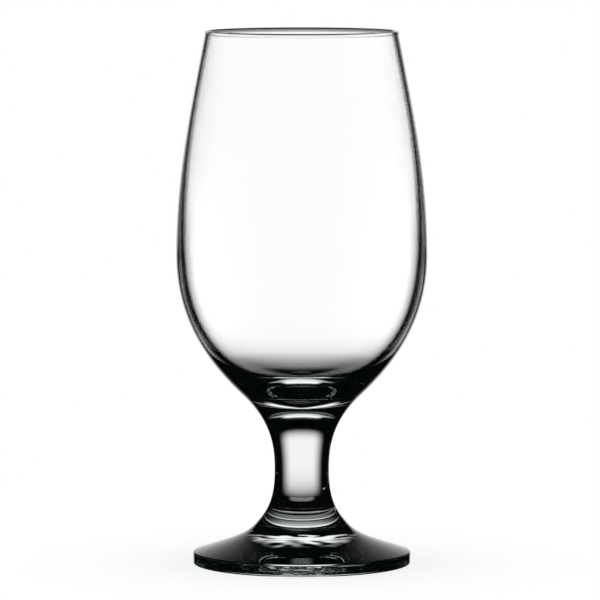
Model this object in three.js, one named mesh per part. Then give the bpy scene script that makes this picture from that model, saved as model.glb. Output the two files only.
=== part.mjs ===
// A stemmed glass goblet for beer or water, in three pieces of clear glass joined while hot:
// a blown bowl, a short solid stem and a pressed foot. Each piece is one outline turned about
// the vertical axis. Millimetres, +Z up, origin at the centre of the face it stands on.

import * as THREE from "three";

// Foot: a thick pressed disc, barely hollowed underneath, drawn up to the joint with the stem.
const FOOT_DIAMETER = 70.4;
const FOOT_HEIGHT = 13;
const FOOT_EDGE_HEIGHT = 3.7;
const FOOT_EDGE_TOP_ROUND = 1;
const FOOT_EDGE_BASE_ROUND = 0.7;
const FOOT_TOP_SLOPE = 18; // degrees from level, where the top runs out to the edge
const FOOT_EDGE_REACH = 12.3;
const FOOT_NECK_REACH = 5.3;
const BEARING_RING_WIDTH = 2;
const UNDERSIDE_RISE = 0.4;
const UNDERSIDE_CENTRE_REACH = 26;
const UNDERSIDE_RING_REACH = 11;

// Joint between the foot and the stem.
const FOOT_JOINT_DIAMETER = 29.6;
const FOOT_JOINT_SLOPE = 41.5; // degrees from upright

// Stem: a waisted solid column that flares out at both ends.
const STEM_LENGTH = 42;
const WAIST_DIAMETER = 17.6;
const WAIST_ABOVE_FOOT = 17.4;
const WAIST_LOWER_REACH = 10.1;
const WAIST_UPPER_REACH = 7.6;
const STEM_LOWER_REACH = 5.1;
const STEM_UPPER_REACH = 13;

// Joint between the stem and the bowl.
const BOWL_JOINT_DIAMETER = 38.8;
const BOWL_JOINT_SLOPE = 47; // degrees from upright

// Bowl: a tulip that is widest below its middle, with a fire-polished bead round the mouth.
const BOWL_HEIGHT = 117;
const BELLY_DIAMETER = 81;
const BELLY_ABOVE_JOINT = 44.6;
const BOWL_JOINT_REACH = 15.9;
const BELLY_LOWER_REACH = 19.8;
const BELLY_UPPER_REACH = 26.5;
const MOUTH_DIAMETER = 62.6;
const MOUTH_SLOPE = 11; // degrees from upright, leaning in
const MOUTH_REACH = 21.9;

// Glass thickness, measured level, and the hollow inside the bowl. Its wall thickens from the
// belly down to the heel, where the hollow turns in to a floor that rests on the stem.
const RIM_BEAD_DIAMETER = 1.6;
const MOUTH_WALL = 1.3;
const BELLY_WALL = 2.3;
const HOLLOW_ABOVE_BELLY = 3.4; // height of the hollow's widest place over the belly's
const HOLLOW_UPPER_REACH = 29.2;
const HOLLOW_LOWER_REACH = 21.2;
const HEEL_WALL = 4.6;
const HEEL_ABOVE_FLOOR = 9.5;
const HEEL_SLOPE = 47; // degrees from upright
const HEEL_UPPER_REACH = 7.9;
const HEEL_LOWER_REACH = 8.8;
const FLOOR_THICKNESS = 0.9;
const FLOOR_REACH = 7.8;

// Fineness of the turned surfaces.
const TURN_STEPS = 64;
const CURVE_STEPS = 10;
const ROUND_STEPS = 3;

const clearGlass = new THREE.MeshStandardMaterial({
  color: 0xe9f0ef,
  roughness: 0.03,
  metalness: 0,
  transparent: true,
  opacity: 0.35,
});

/** A unit direction in the outline's plane, at so many degrees from upright, leaning outwards. */
function leaning(degrees) {
  const angle = THREE.MathUtils.degToRad(degrees);
  return new THREE.Vector2(Math.sin(angle), Math.cos(angle));
}

/** Points along a curve that leaves one station and meets the next in the given directions. */
function sweep(from, leaving, leavingReach, to, meeting, meetingReach) {
  const curve = new THREE.CubicBezierCurve(
    from,
    from.clone().addScaledVector(leaving, leavingReach),
    to.clone().addScaledVector(meeting, -meetingReach),
    to,
  );
  return curve.getPoints(CURVE_STEPS);
}

/** Points round part of a circle, between two angles in degrees from the outward level line. */
function round(centre, radius, startDegrees, endDegrees) {
  const start = THREE.MathUtils.degToRad(startDegrees);
  const end = THREE.MathUtils.degToRad(endDegrees);
  const arc = new THREE.EllipseCurve(centre.x, centre.y, radius, radius, start, end, end < start);
  const quarters = Math.ceil(Math.abs(endDegrees - startDegrees) / 90);
  return arc.getPoints(ROUND_STEPS * quarters);
}

/** The radius at some height of an outline that rises all the way. */
function radiusAt(points, height) {
  const above = points.findIndex((point) => point.y >= height);
  const below = above - 1;
  const share = (height - points[below].y) / (points[above].y - points[below].y);
  return THREE.MathUtils.lerp(points[below].x, points[above].x, share);
}

/** One piece of glass: an outline of stretches, from axis to axis, turned about the vertical. */
function turned(name, stretches) {
  const outline = stretches.flat().filter((point, i, all) => i === 0 || !point.equals(all[i - 1]));
  const geometry = new THREE.LatheGeometry(outline, TURN_STEPS).rotateX(Math.PI / 2);
  const mesh = new THREE.Mesh(geometry, clearGlass);
  mesh.name = name;
  return mesh;
}

const up = leaning(0);
const down = leaning(180);
const outwards = leaning(90);
const inwards = leaning(-90);

/** The foot, from its hollowed underside round the edge and up to the stem. */
function foot() {
  const radius = FOOT_DIAMETER / 2;
  const ringInside = new THREE.Vector2(radius - FOOT_EDGE_BASE_ROUND - BEARING_RING_WIDTH, 0);
  const dome = new THREE.Vector2(0, UNDERSIDE_RISE);
  const baseCentre = new THREE.Vector2(radius - FOOT_EDGE_BASE_ROUND, FOOT_EDGE_BASE_ROUND);
  const topCentre = new THREE.Vector2(
    radius - FOOT_EDGE_TOP_ROUND,
    FOOT_EDGE_HEIGHT - FOOT_EDGE_TOP_ROUND,
  );
  const edge = round(topCentre, FOOT_EDGE_TOP_ROUND, 0, 90 - FOOT_TOP_SLOPE);
  const joint = new THREE.Vector2(FOOT_JOINT_DIAMETER / 2, FOOT_HEIGHT);
  const upFromEdge = leaning(FOOT_TOP_SLOPE - 90);
  return turned("foot", [
    sweep(dome, outwards, UNDERSIDE_CENTRE_REACH, ringInside, outwards, UNDERSIDE_RING_REACH),
    round(baseCentre, FOOT_EDGE_BASE_ROUND, -90, 0),
    edge,
    sweep(edge.at(-1), upFromEdge, FOOT_EDGE_REACH, joint, leaning(-FOOT_JOINT_SLOPE), FOOT_NECK_REACH),
    [new THREE.Vector2(0, FOOT_HEIGHT)],
  ]);
}

/** The stem, standing on its own lower joint face. */
function stem() {
  const lower = new THREE.Vector2(FOOT_JOINT_DIAMETER / 2, 0);
  const waist = new THREE.Vector2(WAIST_DIAMETER / 2, WAIST_ABOVE_FOOT);
  const upper = new THREE.Vector2(BOWL_JOINT_DIAMETER / 2, STEM_LENGTH);
  return turned("stem", [
    [new THREE.Vector2(0, 0)],
    sweep(lower, leaning(-FOOT_JOINT_SLOPE), STEM_LOWER_REACH, waist, up, WAIST_LOWER_REACH),
    sweep(waist, up, WAIST_UPPER_REACH, upper, leaning(BOWL_JOINT_SLOPE), STEM_UPPER_REACH),
    [new THREE.Vector2(0, STEM_LENGTH)],
  ]);
}

/** The bowl, up its outside, over the rim and down the hollow, on its own joint face. */
function bowl() {
  const joint = new THREE.Vector2(BOWL_JOINT_DIAMETER / 2, 0);
  const belly = new THREE.Vector2(BELLY_DIAMETER / 2, BELLY_ABOVE_JOINT);
  const beadRadius = RIM_BEAD_DIAMETER / 2;
  const leaningIn = leaning(-MOUTH_SLOPE);
  const downFromMouth = leaning(180 - MOUTH_SLOPE);
  const beadCentre = new THREE.Vector2(
    MOUTH_DIAMETER / 2 - beadRadius,
    BOWL_HEIGHT - beadRadius,
  );
  const halfWall = MOUTH_WALL / 2;
  const neckDrop = Math.sqrt(beadRadius ** 2 - halfWall ** 2);
  const neckAngle = THREE.MathUtils.radToDeg(Math.asin(neckDrop / beadRadius));
  const bead = round(
    beadCentre,
    beadRadius,
    MOUTH_SLOPE - neckAngle,
    MOUTH_SLOPE + 180 + neckAngle,
  );
  const outOfJoint = leaning(BOWL_JOINT_SLOPE);
  const lowerOutside = sweep(joint, outOfJoint, BOWL_JOINT_REACH, belly, up, BELLY_LOWER_REACH);
  const hollowBelly = new THREE.Vector2(belly.x - BELLY_WALL, belly.y + HOLLOW_ABOVE_BELLY);
  const heelHeight = FLOOR_THICKNESS + HEEL_ABOVE_FLOOR;
  const heel = new THREE.Vector2(radiusAt(lowerOutside, heelHeight) - HEEL_WALL, heelHeight);
  const downIntoHeel = leaning(HEEL_SLOPE + 180);
  const floor = new THREE.Vector2(0, FLOOR_THICKNESS);
  return turned("bowl", [
    [new THREE.Vector2(0, 0)],
    lowerOutside,
    sweep(belly, up, BELLY_UPPER_REACH, bead[0], leaningIn, MOUTH_REACH),
    bead,
    sweep(bead.at(-1), downFromMouth, MOUTH_REACH, hollowBelly, down, HOLLOW_UPPER_REACH),
    sweep(hollowBelly, down, HOLLOW_LOWER_REACH, heel, downIntoHeel, HEEL_UPPER_REACH),
    sweep(heel, downIntoHeel, HEEL_LOWER_REACH, floor, inwards, FLOOR_REACH),
  ]);
}

// The three pieces, each set face to face on the one below.
const goblet = new THREE.Group();
const stemPiece = stem();
stemPiece.position.z = FOOT_HEIGHT;
const bowlPiece = bowl();
bowlPiece.position.z = FOOT_HEIGHT + STEM_LENGTH;
goblet.add(foot(), stemPiece, bowlPiece);

export default goblet;
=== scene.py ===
"""A clear glass goblet of three pieces fused hot, standing in a bright-field studio.

The bowl, the stem and the foot are each one outline turned about the vertical axis, with fine
meshes that take the place of the faceted solids. Heights and main diameters come from the frame.
All lengths are in metres and all angles in degrees, unless a name says otherwise.
"""
import logging
import math
from dataclasses import dataclass
from enum import Enum

import bpy
import numpy as np
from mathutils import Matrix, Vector, noise


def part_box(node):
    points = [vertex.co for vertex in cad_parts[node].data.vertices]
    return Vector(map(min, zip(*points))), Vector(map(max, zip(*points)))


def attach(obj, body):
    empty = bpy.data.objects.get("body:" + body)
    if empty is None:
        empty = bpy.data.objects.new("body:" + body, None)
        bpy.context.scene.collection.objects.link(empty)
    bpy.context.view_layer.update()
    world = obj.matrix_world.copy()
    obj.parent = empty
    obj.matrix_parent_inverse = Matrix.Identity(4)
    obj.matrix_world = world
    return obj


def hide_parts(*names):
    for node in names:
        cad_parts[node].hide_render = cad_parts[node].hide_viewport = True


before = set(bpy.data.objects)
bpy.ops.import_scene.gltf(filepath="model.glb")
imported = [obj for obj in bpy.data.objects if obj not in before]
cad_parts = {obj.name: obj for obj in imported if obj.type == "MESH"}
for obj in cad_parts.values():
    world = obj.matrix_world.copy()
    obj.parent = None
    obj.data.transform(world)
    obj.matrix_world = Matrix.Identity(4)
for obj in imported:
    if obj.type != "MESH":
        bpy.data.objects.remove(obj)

LOG = logging.getLogger("goblet")
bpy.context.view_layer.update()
MM = 0.001
TOUCH = 0.001 * MM
IMAGE_SIDE = 600
OUTSIDE = "outside"


class Node(Enum):
    """The solids of the frame that the goblet's glass takes the place of."""

    FOOT = "foot"
    STEM = "stem"
    BOWL = "bowl"


class Bearing(Enum):
    """Where the studio's soft windows stand, clockwise from +Y as seen from above."""

    BEHIND = 0
    LEFT = -90
    BEHIND_LEFT = -45
    FRONT_RIGHT = 135


class Sight(Enum):
    """The rays that a window is shown to, by what the glass did to them on their way."""

    SURFACE = "a ray mirrored by the glass's outside"
    INNER = "a ray mirrored inside the glass"
    UNMIRRORED = "a ray that no glass has mirrored"
    SOLID = "an unmirrored ray through one thickness of glass"
    HOLLOW = "an unmirrored ray through both walls of the bowl"


def ring_radius(node: Node, height: float) -> float:
    """Measure the widest ring of a solid's corners at one height.

    Args:
        node: The solid to measure.
        height: Height of the ring in the frame.

    Returns:
        The ring's radius.
    """
    corners = np.array([v.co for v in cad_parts[node.value].data.vertices])
    level = np.abs(corners[:, 2] - height) < TOUCH
    return float(np.hypot(corners[level, 0], corners[level, 1]).max())


def leaning(angle: float) -> np.ndarray:
    """Give a unit direction in the outline's plane, at an angle from upright, leaning outwards."""
    return np.array([math.sin(math.radians(angle)), math.cos(math.radians(angle))])


@dataclass(frozen=True)
class Station:
    """A place on an outline that a curve leaves or meets in a known direction."""

    radius: float
    height: float
    direction: float
    reach: float

    @property
    def point(self) -> np.ndarray:
        """The station's radius and height as one point."""
        return np.array([self.radius, self.height])

    def handle(self, side: int) -> np.ndarray:
        """Give the control point ahead of the station, for side 1, or behind it, for side -1."""
        return self.point + side * self.reach * leaning(self.direction)


def sweep(start: Station, end: Station, steps: int = 48, end_step: float = 0.002) -> np.ndarray:
    """Lay points along a cubic curve between two stations.

    One more point close to each end keeps the smooth shading true up to the joints.

    Args:
        start: Station that the curve leaves.
        end: Station that the curve meets.
        steps: Number of even steps along the curve.
        end_step: Share of the curve between an end and the point close to it.

    Returns:
        The points as rows of radius and height.
    """
    t = np.sort(np.append(np.linspace(0, 1, steps + 1), [end_step, 1 - end_step]))[:, None]
    near, far = start.handle(1), end.handle(-1)
    opening = (1 - t) ** 3 * start.point + 3 * (1 - t) ** 2 * t * near
    return opening + 3 * (1 - t) * t**2 * far + t**3 * end.point


def arc(
    centre: tuple[float, float],
    radius: float,
    start: float,
    end: float,
    step_angle: float = 6,
    least_steps: int = 6,
) -> np.ndarray:
    """Lay points round part of a circle.

    Args:
        centre: Radius and height of the circle's centre.
        radius: Radius of the circle.
        start: First angle from the outward level line.
        end: Last angle from the outward level line.
        step_angle: Angle between points on a long arc.
        least_steps: Number of steps on a short arc.

    Returns:
        The points as rows of radius and height.
    """
    steps = max(least_steps, round(abs(end - start) / step_angle))
    angles = np.radians(np.linspace(start, end, steps + 1))
    return np.array(centre) + radius * np.column_stack([np.cos(angles), np.sin(angles)])


def eased(share: np.ndarray) -> np.ndarray:
    """Slow a rise from 0 to 1 at both of its ends."""
    return share * share * (3 - 2 * share)


class Shader:
    """A node tree under construction, with short calls to add and wire its nodes."""

    def __init__(self, tree: bpy.types.NodeTree) -> None:
        """Start from an empty tree."""
        self.tree = tree
        tree.nodes.clear()

    def add(self, kind: str, **settings: object) -> bpy.types.Node:
        """Add a node and set its properties.

        Args:
            kind: Blender's name for the node, without the leading ShaderNode.
            **settings: Properties of the node itself.

        Returns:
            The new node.
        """
        node = self.tree.nodes.new(f"ShaderNode{kind}")
        for name, value in settings.items():
            setattr(node, name, value)
        return node

    def feed(self, socket: bpy.types.NodeSocket, value: object) -> None:
        """Link an output to an input socket, or set the socket's own value.

        Args:
            socket: Input to feed.
            value: Output to link, or the value to set.
        """
        if isinstance(value, bpy.types.NodeSocket):
            self.tree.links.new(value, socket)
        else:
            socket.default_value = value

    def calculate(self, operation: str, *values: object) -> bpy.types.NodeSocket:
        """Add a Math node.

        Args:
            operation: Blender's name for the sum.
            *values: Numbers or outputs, one for each input.

        Returns:
            The node's output.
        """
        node = self.add("Math", operation=operation)
        for socket, value in zip(node.inputs, values):
            self.feed(socket, value)
        return node.outputs[0]

    def fade(self, value: bpy.types.NodeSocket, start: float, end: float) -> bpy.types.NodeSocket:
        """Turn a value into a smooth rise from 0 at start to 1 at end.

        Args:
            value: Output that holds the value.
            start: Value at which the rise begins.
            end: Value at which it is complete.

        Returns:
            The output that holds the rise.
        """
        node = self.add("MapRange", interpolation_type="SMOOTHSTEP")
        self.feed(node.inputs["Value"], value)
        flipped = start > end
        node.inputs["From Min"].default_value = min(start, end)
        node.inputs["From Max"].default_value = max(start, end)
        node.inputs["To Min"].default_value = float(flipped)
        node.inputs["To Max"].default_value = float(not flipped)
        return node.outputs["Result"]

    def between(self, factor: object, first: object, second: object) -> bpy.types.NodeSocket:
        """Mix two numbers, through sockets picked by number because some of their names are shared.

        Args:
            factor: Share of the second number.
            first: Number or output of the first.
            second: Number or output of the second.

        Returns:
            The mixed number's output.
        """
        node = self.add("Mix", data_type="FLOAT")
        self.feed(node.inputs[0], factor)
        self.feed(node.inputs[2], first)
        self.feed(node.inputs[3], second)
        return node.outputs[0]

    def blend(self, factor: object, first: object, second: object) -> bpy.types.NodeSocket:
        """Mix two shaders.

        Args:
            factor: Share of the second shader.
            first: Output of the first shader.
            second: Output of the second shader.

        Returns:
            The mixed shader's output.
        """
        node = self.add("MixShader")
        for socket, value in zip(node.inputs, (factor, first, second)):
            self.feed(socket, value)
        return node.outputs[0]

    def tint(self, factor: object, first: object, second: object) -> bpy.types.NodeSocket:
        """Mix two colours, through sockets picked by number because some of their names are shared.

        Args:
            factor: Share of the second colour.
            first: Colour or output of the first.
            second: Colour or output of the second.

        Returns:
            The mixed colour's output.
        """
        node = self.add("Mix", data_type="RGBA", clamp_factor=False)
        self.feed(node.inputs[0], factor)
        self.feed(node.inputs[6], first)
        self.feed(node.inputs[7], second)
        return node.outputs[2]


@dataclass(frozen=True)
class ClearGlass:
    """Clear soda-lime glass with fire-polished faces, and a painted dark line where they are edge-on.

    The line is painted shade in the glass's colour. It is sharp, but soft in the hollow where the
    wall is thick, and paler where the wall is thin. The inner half of the rim's bead is painted dark
    where it is met from the air, as painted shade.
    """

    refraction: float = 1.52
    roughness: float = 0.0
    face_tint: tuple[float, ...] = (1.0, 1.0, 1.0, 1.0)
    # Near-black colour of the painted shade on edge-on faces, and below it where that painted shade
    # falls.
    painted_edge_shade: tuple[float, ...] = (0.0006, 0.0009, 0.001, 1.0)
    edge_start: float = 0.72
    edge_end: float = 0.8
    hollow_edge_start: float = 0.52
    hollow_edge_end: float = 0.9
    thick_below: float = 100 * MM
    thin_above: float = 126 * MM
    thin_edge_share: float = 0.76
    # Painted shade on the rim's bead: where it starts and ends, and how dark it is.
    far_bead_start: float = 170.6 * MM
    far_bead_end: float = 171.1 * MM
    far_bead_shade_share: float = 0.93
    depth_tint: tuple[float, ...] = (0.25, 0.62, 0.58, 1.0)
    depth_density: float = 2.0

    def material(self) -> bpy.types.Material:
        """Make the glass, tinted through its depth, with painted shade along its edges and its bead.

        Returns:
            The new material.
        """
        glass = bpy.data.materials.new("clear_glass")
        glass.use_nodes = True
        shader = Shader(glass.node_tree)
        surface = shader.add("BsdfPrincipled")
        surface.inputs["IOR"].default_value = self.refraction
        surface.inputs["Roughness"].default_value = self.roughness
        surface.inputs["Transmission Weight"].default_value = 1.0
        # Painted shade: the colour turns near black where a face is edge-on to the ray.
        facing = shader.add("LayerWeight").outputs["Facing"]
        outside = shader.add("Attribute", attribute_name=OUTSIDE).outputs["Fac"]
        outer_edge_shade = shader.fade(facing, self.edge_start, self.edge_end)
        hollow_edge_shade = shader.fade(facing, self.hollow_edge_start, self.hollow_edge_end)
        geometry = shader.add("NewGeometry")
        place = shader.add("SeparateXYZ")
        shader.feed(place.inputs[0], geometry.outputs["Position"])
        thin = shader.fade(place.outputs["Z"], self.thick_below, self.thin_above)
        sharp = shader.calculate("MAXIMUM", outside, thin)
        edge = shader.between(sharp, hollow_edge_shade, outer_edge_shade)
        line = shader.calculate("MULTIPLY", edge, shader.between(thin, 1.0, self.thin_edge_share))
        # Painted shade on the inner half of the rim's bead, where it is met from the air.
        bead = shader.fade(place.outputs["Z"], self.far_bead_start, self.far_bead_end)
        hidden = shader.calculate("MAXIMUM", outside, geometry.outputs["Backfacing"])
        far_bead = shader.calculate("MULTIPLY", bead, shader.between(hidden, self.far_bead_shade_share, 0.0))
        dark = shader.calculate("MAXIMUM", line, far_bead)
        # The painted shade of the edges and the bead goes into the glass's colour.
        shader.feed(surface.inputs["Base Color"], shader.tint(dark, self.face_tint, self.painted_edge_shade))
        depth = shader.add("VolumeAbsorption")
        depth.inputs["Color"].default_value = self.depth_tint
        depth.inputs["Density"].default_value = self.depth_density
        output = shader.add("OutputMaterial")
        shader.feed(output.inputs["Surface"], surface.outputs[0])
        shader.feed(output.inputs["Volume"], depth.outputs[0])
        return glass


@dataclass(frozen=True)
class FusedSeam:
    """The face where two pieces were joined hot: the glass runs on, so nothing shows there."""

    def material(self) -> bpy.types.Material:
        """Make the face between two pieces.

        Returns:
            A material that lets every ray through unbent.
        """
        seam = bpy.data.materials.new("fused_seam")
        seam.use_nodes = True
        shader = Shader(seam.node_tree)
        output = shader.add("OutputMaterial")
        shader.feed(output.inputs["Surface"], shader.add("BsdfTransparent").outputs[0])
        return seam


@dataclass(frozen=True)
class Ripple:
    """The faint unevenness that glass keeps from its making, which never adds to its reach."""

    depth: float = 0.012 * MM
    length: float = 11 * MM
    upright_stretch: float = 2.5

    def waves(self, points: np.ndarray) -> np.ndarray:
        """Work out a smooth uneven depth at each point.

        Args:
            points: Rows of x, y and z.

        Returns:
            The depths, from nothing to the full depth.
        """
        places = points / self.length
        places[:, 2] /= self.upright_stretch
        return self.depth * np.array([0.5 - 0.5 * noise.noise(Vector(place)) for place in places])

    def drawn_in(self, points: np.ndarray) -> np.ndarray:
        """Move points towards the axis by a smooth uneven amount.

        Args:
            points: Rows of x, y and z.

        Returns:
            The moved points.
        """
        radii = np.maximum(np.hypot(points[:, 0], points[:, 1]), TOUCH)
        moved = points.copy()
        moved[:, :2] *= (1 - np.minimum(self.waves(points) / radii, 1))[:, None]
        return moved


@dataclass
class Glasswork:
    """One piece of glass: an outline turned about the vertical axis.

    The outline runs from axis to axis, from the underside up and round. Its first or last step is
    a fused face where the piece has one there.
    """

    node: Node
    fused_below: bool = False
    fused_above: bool = False
    seam_gap: float = 0.001 * MM
    turn_steps: int = 224
    hollow: bool = False
    ripple: Ripple = Ripple()

    def outline(self) -> np.ndarray:
        """Lay out the piece's outline, as rows of radius and height."""
        raise NotImplementedError

    def shifted(self, points: np.ndarray, share_of_way: np.ndarray) -> np.ndarray:
        """Give the turned points back unmoved, for a piece whose making left it even.

        Args:
            points: Rows of x, y and z.
            share_of_way: How far along the outline each point lies, from 0 to 1. Not used here.

        Returns:
            The moved points.
        """
        return points

    def build(self) -> bpy.types.Object:
        """Turn the outline into a closed mesh.

        Returns:
            The new object, with fused faces in its second material slot.
        """
        outline = self.outline()
        low, high = outline[:, 1].min(), outline[:, 1].max()
        if self.fused_below:
            outline[outline[:, 1] < low + TOUCH, 1] = low + self.seam_gap
        if self.fused_above:
            outline[outline[:, 1] > high - TOUCH, 1] = high - self.seam_gap
        turn = np.linspace(0, 2 * math.pi, self.turn_steps, endpoint=False)
        rings = outline[1:-1]
        across = np.outer(rings[:, 0], np.cos(turn)).ravel()
        along = np.outer(rings[:, 0], np.sin(turn)).ravel()
        body = np.column_stack([across, along, np.repeat(rings[:, 1], self.turn_steps)])
        ends = np.array([[0, 0, outline[0, 1]], [0, 0, outline[-1, 1]]])
        body = self.ripple.drawn_in(body)
        way = np.repeat(np.linspace(0, 1, len(rings)), self.turn_steps)
        points = self.shifted(np.vstack([body, ends]), np.append(way, [0, 1]))
        mesh = bpy.data.meshes.new(self.node.value)
        mesh.from_pydata(points.tolist(), [], self.faces(len(rings)))
        self.shade(mesh, int(np.argmax(rings[:, 1])))
        piece = bpy.data.objects.new(f"{self.node.value}_glass", mesh)
        bpy.context.scene.collection.objects.link(piece)
        return piece

    def faces(self, ring_count: int) -> list[tuple[int, ...]]:
        """List the mesh's faces: the lower fan, the bands between rings and the upper fan.

        Args:
            ring_count: Number of rings of points.

        Returns:
            Corner numbers of each face, wound so that its front is outside the glass.
        """
        steps = self.turn_steps
        here = np.arange(steps)
        beyond = (here + 1) % steps
        first, last = ring_count * steps, ring_count * steps + 1
        top = (ring_count - 1) * steps
        lower = [(first, int(b), int(a)) for a, b in zip(here, beyond)]
        upper = [(last, int(top + a), int(top + b)) for a, b in zip(here, beyond)]
        bands = []
        for ring in range(ring_count - 1):
            near, far = ring * steps, (ring + 1) * steps
            corners = np.column_stack([near + here, near + beyond, far + beyond, far + here])
            bands.extend(map(tuple, corners.tolist()))
        return [*lower, *bands, *upper]

    def shade(self, mesh: bpy.types.Mesh, summit: int) -> None:
        """Smooth the glass, mark its outside for the painted edge shade, and put its fused faces in
        the second material slot.

        Args:
            mesh: Mesh with the faces in the order that faces gives.
            summit: Number of the outline's highest ring, where a hollow begins.
        """
        fused = np.zeros(len(mesh.polygons), dtype=bool)
        fused[: self.turn_steps] = self.fused_below
        fused[-self.turn_steps :] = self.fused_above
        outside = np.ones(len(mesh.polygons), dtype=np.float32)
        if self.hollow:
            outside[self.turn_steps * (summit + 1) :] = 0
        mesh.polygons.foreach_set("use_smooth", ~fused)
        mesh.polygons.foreach_set("material_index", fused.astype(np.int32))
        mesh.attributes.new(OUTSIDE, "FLOAT", "FACE").data.foreach_set("value", outside)
        mesh.update()

    def dress(
        self,
        piece: bpy.types.Object,
        glass: bpy.types.Material,
        seam: bpy.types.Material,
    ) -> None:
        """Give the piece its materials and set it in the frame.

        Args:
            piece: Object that build returned.
            glass: Material of the open faces.
            seam: Material of the fused faces.
        """
        piece.data.materials.append(glass)
        piece.data.materials.append(seam)
        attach(piece, "root")
        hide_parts(self.node.value)


@dataclass
class Foot(Glasswork):
    """A thick pressed disc with a rounded edge, drawn up to the joint with the stem."""

    node: Node = Node.FOOT
    fused_above: bool = True
    edge_height: float = 4.1 * MM
    edge_top_round: float = 0.8 * MM
    edge_base_round: float = 0.7 * MM
    top_slope: float = 18
    edge_reach: float = 12.3 * MM
    joint_slope: float = 41.5
    neck_reach: float = 5.3 * MM
    ring_width: float = 2.0 * MM
    underside_rise: float = 0.4 * MM
    underside_centre_reach: float = 26.0 * MM
    underside_ring_reach: float = 11.0 * MM
    press_marks: Ripple = Ripple(depth=0.3 * MM, length=3.5 * MM)
    marks_radius: float = 18 * MM
    marks_fade: float = 0.5

    def outline(self) -> np.ndarray:
        """Lay out the hollowed underside, the rounded edge and the top up to the joint.

        Returns:
            The outline as rows of radius and height.
        """
        low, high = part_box(self.node.value)
        radius = high.x
        ring_inside = radius - self.edge_base_round - self.ring_width
        dome = Station(0, low.z + self.underside_rise, 90, self.underside_centre_reach)
        ring = Station(ring_inside, low.z, 90, self.underside_ring_reach)
        base_centre = (radius - self.edge_base_round, low.z + self.edge_base_round)
        top_centre = (radius - self.edge_top_round, low.z + self.edge_height - self.edge_top_round)
        edge_base = arc(base_centre, self.edge_base_round, -90, 0)
        edge_top = arc(top_centre, self.edge_top_round, 0, 90 - self.top_slope)
        shoulder = Station(*edge_top[-1], self.top_slope - 90, self.edge_reach)
        joint = Station(ring_radius(self.node, high.z), high.z, -self.joint_slope, self.neck_reach)
        parts = [sweep(dome, ring), edge_base, edge_top, sweep(shoulder, joint)[1:], [[0, high.z]]]
        return np.vstack(parts)

    def shifted(self, points: np.ndarray, share_of_way: np.ndarray) -> np.ndarray:
        """Raise the underside a little here and there, as the press leaves it.

        Args:
            points: Rows of x, y and z.
            share_of_way: How far along the outline each point lies, from 0 to 1. Not used here.

        Returns:
            The moved points.
        """
        low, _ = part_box(self.node.value)
        way_in = 1 - np.hypot(points[:, 0], points[:, 1]) / self.marks_radius
        inwards = np.clip(way_in / self.marks_fade, 0, 1)
        under = points[:, 2] < low.z + self.underside_rise + TOUCH
        moved = points.copy()
        moved[:, 2] += under * inwards * self.press_marks.waves(points)
        return moved


@dataclass
class Stem(Glasswork):
    """A short solid column with a waist, flared at both ends."""

    node: Node = Node.STEM
    fused_below: bool = True
    fused_above: bool = True
    lower_slope: float = 41.5
    lower_reach: float = 5.1 * MM
    waist_diameter: float = 17.6 * MM
    waist_height: float = 17.4 * MM
    waist_lower_reach: float = 10.1 * MM
    waist_upper_reach: float = 7.6 * MM
    upper_slope: float = 47
    upper_reach: float = 13 * MM

    def outline(self) -> np.ndarray:
        """Lay out the column from the foot's joint, in to the waist and out to the bowl's joint.

        Returns:
            The outline as rows of radius and height.
        """
        low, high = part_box(self.node.value)
        waist_place = (self.waist_diameter / 2, low.z + self.waist_height)
        lower = Station(ring_radius(self.node, low.z), low.z, -self.lower_slope, self.lower_reach)
        upper = Station(ring_radius(self.node, high.z), high.z, self.upper_slope, self.upper_reach)
        into_waist = sweep(lower, Station(*waist_place, 0, self.waist_lower_reach))
        out_of_waist = sweep(Station(*waist_place, 0, self.waist_upper_reach), upper)[1:]
        return np.vstack([[[0, low.z]], into_waist, out_of_waist, [[0, high.z]]])


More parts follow.
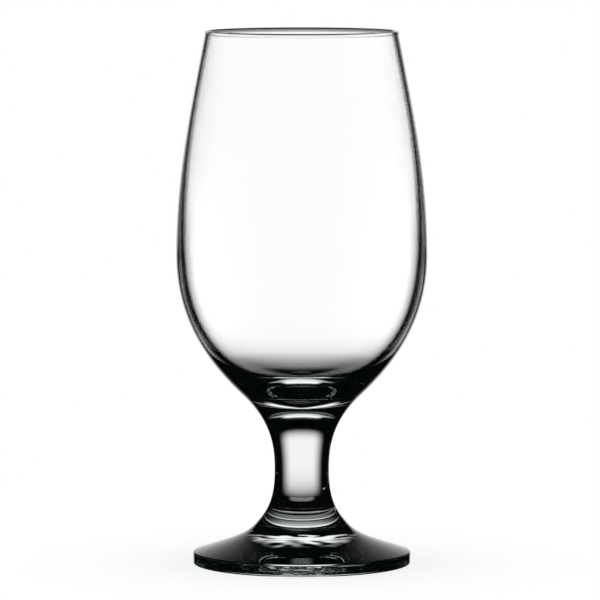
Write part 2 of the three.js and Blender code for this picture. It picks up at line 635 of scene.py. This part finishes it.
@dataclass
class Bowl(Glasswork):
    """A blown tulip with a fire-polished bead round its mouth and a thick rounded floor."""

    node: Node = Node.BOWL
    fused_below: bool = True
    hollow: bool = True
    joint_slope: float = 47
    joint_reach: float = 15.9 * MM
    belly_height: float = 44.6 * MM
    belly_lower_reach: float = 19.8 * MM
    belly_upper_reach: float = 26.5 * MM
    mouth_diameter: float = 62.6 * MM
    mouth_slope: float = 11
    mouth_reach: float = 21.9 * MM
    bead_diameter: float = 1.6 * MM
    mouth_wall: float = 1.3 * MM
    belly_wall: float = 2.3 * MM
    hollow_above_belly: float = 3.4 * MM
    hollow_upper_reach: float = 29.2 * MM
    hollow_lower_reach: float = 21.2 * MM
    heel_wall: float = 4.6 * MM
    heel_above_floor: float = 9.5 * MM
    heel_slope: float = 47
    heel_upper_reach: float = 7.9 * MM
    heel_lower_reach: float = 8.8 * MM
    floor_thickness: float = 0.4 * MM
    floor_reach: float = 3.2 * MM
    hollow_offset: float = 0.1 * MM
    offset_run: float = 1 / 12

    def outline(self) -> np.ndarray:
        """Lay out the outside up to the mouth, the bead, and the hollow down to its floor.

        Returns:
            The outline as rows of radius and height.
        """
        low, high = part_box(self.node.value)
        bead = self.bead_diameter / 2
        centre = (self.mouth_diameter / 2 - bead, high.z - bead)
        neck = math.degrees(math.acos(self.mouth_wall / self.bead_diameter))
        rim = arc(centre, bead, self.mouth_slope - neck, self.mouth_slope + 180 + neck)
        rim[:, 1] = np.minimum(rim[:, 1], high.z)
        joint = Station(ring_radius(self.node, low.z), low.z, self.joint_slope, self.joint_reach)
        belly = (high.x, low.z + self.belly_height)
        lower_outside = sweep(joint, Station(*belly, 0, self.belly_lower_reach))
        widest = (high.x - self.belly_wall, belly[1] + self.hollow_above_belly)
        floor = Station(0, low.z + self.floor_thickness, -90, self.floor_reach)
        heel_height = floor.height + self.heel_above_floor
        heel_outside = np.interp(heel_height, lower_outside[:, 1], lower_outside[:, 0])
        heel = (heel_outside - self.heel_wall, heel_height)
        inwards = 180 + self.heel_slope
        parts = [
            [[0, low.z]],
            lower_outside,
            sweep(
                Station(*belly, 0, self.belly_upper_reach),
                Station(*rim[0], -self.mouth_slope, self.mouth_reach),
            )[1:],
            rim[1:],
            sweep(
                Station(*rim[-1], 180 - self.mouth_slope, self.mouth_reach),
                Station(*widest, 180, self.hollow_upper_reach),
            )[1:],
            sweep(
                Station(*widest, 180, self.hollow_lower_reach),
                Station(*heel, inwards, self.heel_upper_reach),
            )[1:],
            sweep(Station(*heel, inwards, self.heel_lower_reach), floor)[1:],
        ]
        return np.vstack(parts)

    def shifted(self, points: np.ndarray, share_of_way: np.ndarray) -> np.ndarray:
        """Set the hollow a little to the left, as blown walls are seldom even all round.

        Args:
            points: Rows of x, y and z.
            share_of_way: How far along the outline each point lies, from 0 to 1.

        Returns:
            The moved points.
        """
        summit = share_of_way[np.argmax(points[:, 2])]
        way_down = (share_of_way - summit) / (1 - summit)
        moved = points.copy()
        moved[:, 0] -= self.hollow_offset * eased(np.clip(way_down / self.offset_run, 0, 1))
        return moved


@dataclass(frozen=True)
class Window:
    """A soft white window in the dark studio, seen by the glass as a bright field."""

    bearing: Bearing
    full_half_width: float = 14
    dark_half_width: float = 38
    full_above: float = 12
    dark_above: float = 36
    full_below: float = -8
    dark_below: float = -30
    side_lift: float = 0.0
    light: float = 1.15
    sight: Sight = Sight.UNMIRRORED

    def glow(
        self,
        shader: Shader,
        level: bpy.types.NodeSocket,
        height: bpy.types.NodeSocket,
        shown: dict[Sight, bpy.types.NodeSocket],
    ) -> bpy.types.NodeSocket:
        """Work out the light that a ray meets in the window.

        Args:
            shader: Node tree of the world.
            level: Direction without its upright part, of length 1.
            height: Elevation of the direction in radians.
            shown: For each sight, 1 for a ray that is part of it, or else 0.

        Returns:
            The output that holds the window's light in the ray's direction.
        """
        towards = math.radians(self.bearing.value)
        dot = shader.add("VectorMath", operation="DOT_PRODUCT")
        shader.feed(dot.inputs[0], level)
        dot.inputs[1].default_value = (math.sin(towards), math.cos(towards), 0)
        aside = shader.calculate("ARCCOSINE", dot.outputs["Value"])
        full, dark = math.radians(self.full_half_width), math.radians(self.dark_half_width)
        spread = shader.fade(aside, dark, full)
        over = shader.fade(height, math.radians(self.dark_above), math.radians(self.full_above))
        under = shader.fade(height, math.radians(self.dark_below), math.radians(self.full_below))
        sides = shader.fade(aside, 0, full)
        lift = shader.calculate("MULTIPLY_ADD", sides, self.side_lift, 1.0)
        upright = shader.calculate("MULTIPLY", over, under)
        share = shader.calculate("MULTIPLY", shader.calculate("MULTIPLY", spread, lift), upright)
        light = shader.calculate("MULTIPLY", share, self.light)
        return shader.calculate("MULTIPLY", light, shown[self.sight])


# The window behind is the photograph's own, with its own reach for each kind of ray. The others are
# for the views from other sides, and stand where the photograph's view hardly meets them.
WINDOWS = (
    Window(
        Bearing.BEHIND,
        full_half_width=13,
        dark_half_width=22,
        full_above=-6,
        dark_above=42,
        light=1.05,
        sight=Sight.SURFACE,
    ),
    Window(Bearing.BEHIND, full_half_width=13, dark_half_width=22, sight=Sight.INNER),
    Window(
        Bearing.BEHIND,
        full_half_width=8,
        dark_half_width=40,
        full_below=10,
        dark_below=2,
        sight=Sight.INNER,
    ),
    Window(Bearing.BEHIND, full_below=-3, dark_below=-36, light=1.0, sight=Sight.SOLID),
    Window(Bearing.BEHIND, full_below=-6, dark_below=-38, side_lift=0.55, sight=Sight.HOLLOW),
    Window(Bearing.LEFT, full_half_width=10, dark_half_width=22, full_below=-3, dark_below=-36),
    Window(Bearing.LEFT, full_below=-6, dark_below=-38, side_lift=0.55, sight=Sight.HOLLOW),
    Window(Bearing.FRONT_RIGHT, full_above=2, dark_above=26, full_below=-13, dark_below=-46),
    Window(
        Bearing.FRONT_RIGHT,
        full_above=0,
        dark_above=24,
        full_below=-18,
        dark_below=-46,
        side_lift=0.55,
        sight=Sight.HOLLOW,
    ),
    Window(
        Bearing.BEHIND_LEFT,
        full_half_width=10,
        dark_half_width=22,
        full_above=-22,
        dark_above=-14,
        full_below=-28,
        dark_below=-36,
        sight=Sight.HOLLOW,
    ),
    Window(
        Bearing.BEHIND_LEFT,
        full_half_width=3,
        dark_half_width=5.5,
        full_above=-21.9,
        dark_above=-21.5,
        full_below=-22.9,
        dark_below=-23.3,
        light=0.6,
        sight=Sight.SOLID,
    ),
    Window(
        Bearing.BEHIND_LEFT,
        full_half_width=12,
        dark_half_width=26,
        full_above=-35,
        dark_above=-31,
        full_below=-48,
        dark_below=-58,
        sight=Sight.SOLID,
    ),
)


@dataclass
class Studio:
    """The white floor, the dark room with its soft windows, the lamp and the camera."""

    white: tuple[float, ...] = (1.0, 1.0, 1.0, 1.0)
    charcoal: tuple[float, ...] = (0.0015, 0.0022, 0.0026, 1.0)
    floor_side: float = 60
    shadow_share: float = 0.2
    shadow_near: float = 90 * MM
    shadow_far: float = 260 * MM
    lamp_height: float = 1.6
    lamp_side: float = 1.2
    lamp_power: float = 28
    camera_distance: float = 1750.2 * MM
    camera_height: float = 233.9 * MM
    aim_height: float = 85 * MM
    focal_pixels: float = 5453.1
    sensor_width_mm: float = 36
    base_centre_pixel: tuple[float, float] = (301.8, 562.73)
    over_none: float = 0.5
    over_two: float = 2.5
    bounces: int = 32

    def sights(self, shader: Shader, path: bpy.types.Node) -> dict[Sight, bpy.types.NodeSocket]:
        """Tell from the counts of faces on a ray's path which sights it is part of.

        Args:
            shader: Node tree of the world.
            path: Light Path node of the tree.

        Returns:
            For each sight, 1 for a ray that is part of it, or else 0.
        """
        mirrors, passes = path.outputs["Glossy Depth"], path.outputs["Transmission Depth"]
        unmirrored = shader.calculate("LESS_THAN", mirrors, self.over_none)
        mirrored = shader.calculate("SUBTRACT", 1.0, unmirrored)
        entered = shader.calculate("GREATER_THAN", passes, self.over_none)
        inner = shader.calculate("MULTIPLY", mirrored, entered)
        both_walls = shader.calculate("GREATER_THAN", passes, self.over_two)
        hollow = shader.calculate("MULTIPLY", unmirrored, both_walls)
        return {
            Sight.SURFACE: shader.calculate("SUBTRACT", mirrored, inner),
            Sight.INNER: inner,
            Sight.UNMIRRORED: unmirrored,
            Sight.SOLID: shader.calculate("SUBTRACT", unmirrored, hollow),
            Sight.HOLLOW: hollow,
        }

    def build_world(self) -> None:
        """Make the room: white to the camera, dark with soft windows to the glass."""
        world = bpy.data.worlds.new("studio")
        bpy.context.scene.world = world
        world.use_nodes = True
        shader = Shader(world.node_tree)
        ray = shader.add("TexCoord").outputs["Generated"]
        parts = shader.add("SeparateXYZ")
        shader.feed(parts.inputs[0], ray)
        flat = shader.add("CombineXYZ")
        shader.feed(flat.inputs[0], parts.outputs[0])
        shader.feed(flat.inputs[1], parts.outputs[1])
        level = shader.add("VectorMath", operation="NORMALIZE")
        shader.feed(level.inputs[0], flat.outputs[0])
        height = shader.calculate("ARCSINE", parts.outputs[2])
        path = shader.add("LightPath")
        shown = self.sights(shader, path)
        glow = None
        for window in WINDOWS:
            share = window.glow(shader, level.outputs[0], height, shown)
            glow = share if glow is None else shader.calculate("MAXIMUM", glow, share)
        room = shader.add("Background")
        shader.feed(room.inputs["Color"], shader.tint(glow, self.charcoal, self.white))
        backdrop = shader.add("Background")
        backdrop.inputs["Color"].default_value = self.white
        seen = path.outputs["Is Camera Ray"]
        output = shader.add("OutputWorld")
        shader.feed(output.inputs["Surface"], shader.blend(seen, room.outputs[0], backdrop.outputs[0]))

    def floor_material(self) -> bpy.types.Material:
        """Make the white floor, which keeps the goblet's shadow.

        Returns:
            A material that glows white to the camera, but for a share of matt white near the foot
            where the shadow falls.
        """
        material = bpy.data.materials.new("white_floor")
        material.use_nodes = True
        shader = Shader(material.node_tree)
        matt = shader.add("BsdfDiffuse")
        matt.inputs["Color"].default_value = self.white
        bright = shader.add("Emission")
        bright.inputs["Color"].default_value = self.white
        distance = shader.add("VectorMath", operation="LENGTH")
        shader.feed(distance.inputs[0], shader.add("NewGeometry").outputs["Position"])
        near = shader.fade(distance.outputs["Value"], self.shadow_far, self.shadow_near)
        share = shader.calculate("MULTIPLY", near, self.shadow_share)
        to_camera = shader.blend(share, bright.outputs[0], matt.outputs[0])
        seen = shader.add("LightPath").outputs["Is Camera Ray"]
        output = shader.add("OutputMaterial")
        shader.feed(output.inputs["Surface"], shader.blend(seen, matt.outputs[0], to_camera))
        return material

    def build_floor(self) -> None:
        """Lay the floor under the foot."""
        half = self.floor_side / 2
        corners = [(-half, -half, 0), (half, -half, 0), (half, half, 0), (-half, half, 0)]
        mesh = bpy.data.meshes.new("floor")
        mesh.from_pydata(corners, [], [(0, 1, 2, 3)])
        mesh.materials.append(self.floor_material())
        floor = bpy.data.objects.new("floor", mesh)
        floor.visible_glossy = False
        floor.visible_transmission = False
        bpy.context.scene.collection.objects.link(floor)

    def build_lamp(self) -> None:
        """Hang one large soft lamp overhead, for the floor and the goblet's shadow."""
        light = bpy.data.lights.new("soft_overhead", type="AREA")
        light.shape = "DISK"
        light.size = self.lamp_side
        light.energy = self.lamp_power
        lamp = bpy.data.objects.new("soft_overhead", light)
        lamp.location = (0, 0, self.lamp_height)
        lamp.visible_glossy = False
        lamp.visible_transmission = False
        bpy.context.scene.collection.objects.link(lamp)

    def build_camera(self) -> None:
        """Set the camera where the photograph was taken from."""
        data = bpy.data.cameras.new("camera")
        data.sensor_width = self.sensor_width_mm
        data.lens = self.focal_pixels / IMAGE_SIDE * self.sensor_width_mm
        pitch = math.atan2(self.camera_height - self.aim_height, self.camera_distance)
        camera = bpy.data.objects.new("camera", data)
        camera.location = (0, -self.camera_distance, self.camera_height)
        camera.rotation_euler = (math.pi / 2 - pitch, 0, 0)
        depth = self.camera_distance * math.cos(pitch) + self.camera_height * math.sin(pitch)
        drop = self.camera_height * math.cos(pitch) - self.camera_distance * math.sin(pitch)
        base_row = IMAGE_SIDE / 2 + self.focal_pixels * drop / depth
        data.shift_x = (IMAGE_SIDE / 2 - self.base_centre_pixel[0]) / IMAGE_SIDE
        data.shift_y = (self.base_centre_pixel[1] - base_row) / IMAGE_SIDE
        bpy.context.scene.collection.objects.link(camera)
        bpy.context.scene.camera = camera

    def set_light_paths(self) -> None:
        """Let rays pass all the faces of the glass, and keep lamp sparkle off the floor."""
        paths = bpy.context.scene.cycles
        paths.max_bounces = self.bounces
        paths.transmission_bounces = self.bounces
        paths.glossy_bounces = self.bounces
        paths.transparent_max_bounces = self.bounces
        paths.caustics_reflective = False
        paths.caustics_refractive = False

    def build(self) -> None:
        """Set up the whole studio."""
        bpy.context.scene.view_settings.view_transform = "Standard"
        self.build_camera()
        self.build_world()
        self.build_floor()
        self.build_lamp()
        self.set_light_paths()


def main() -> None:
    logging.basicConfig(level=logging.INFO, format="%(name)s: %(message)s")
    Studio().build()
    glass = ClearGlass().material()
    seam = FusedSeam().material()
    for work in (Foot(), Stem(), Bowl()):
        piece = work.build()
        work.dress(piece, glass, seam)
        LOG.info("%s: %d faces in place of %s", piece.name, len(piece.data.polygons), work.node.value)


if __name__ == "__main__":
    main()
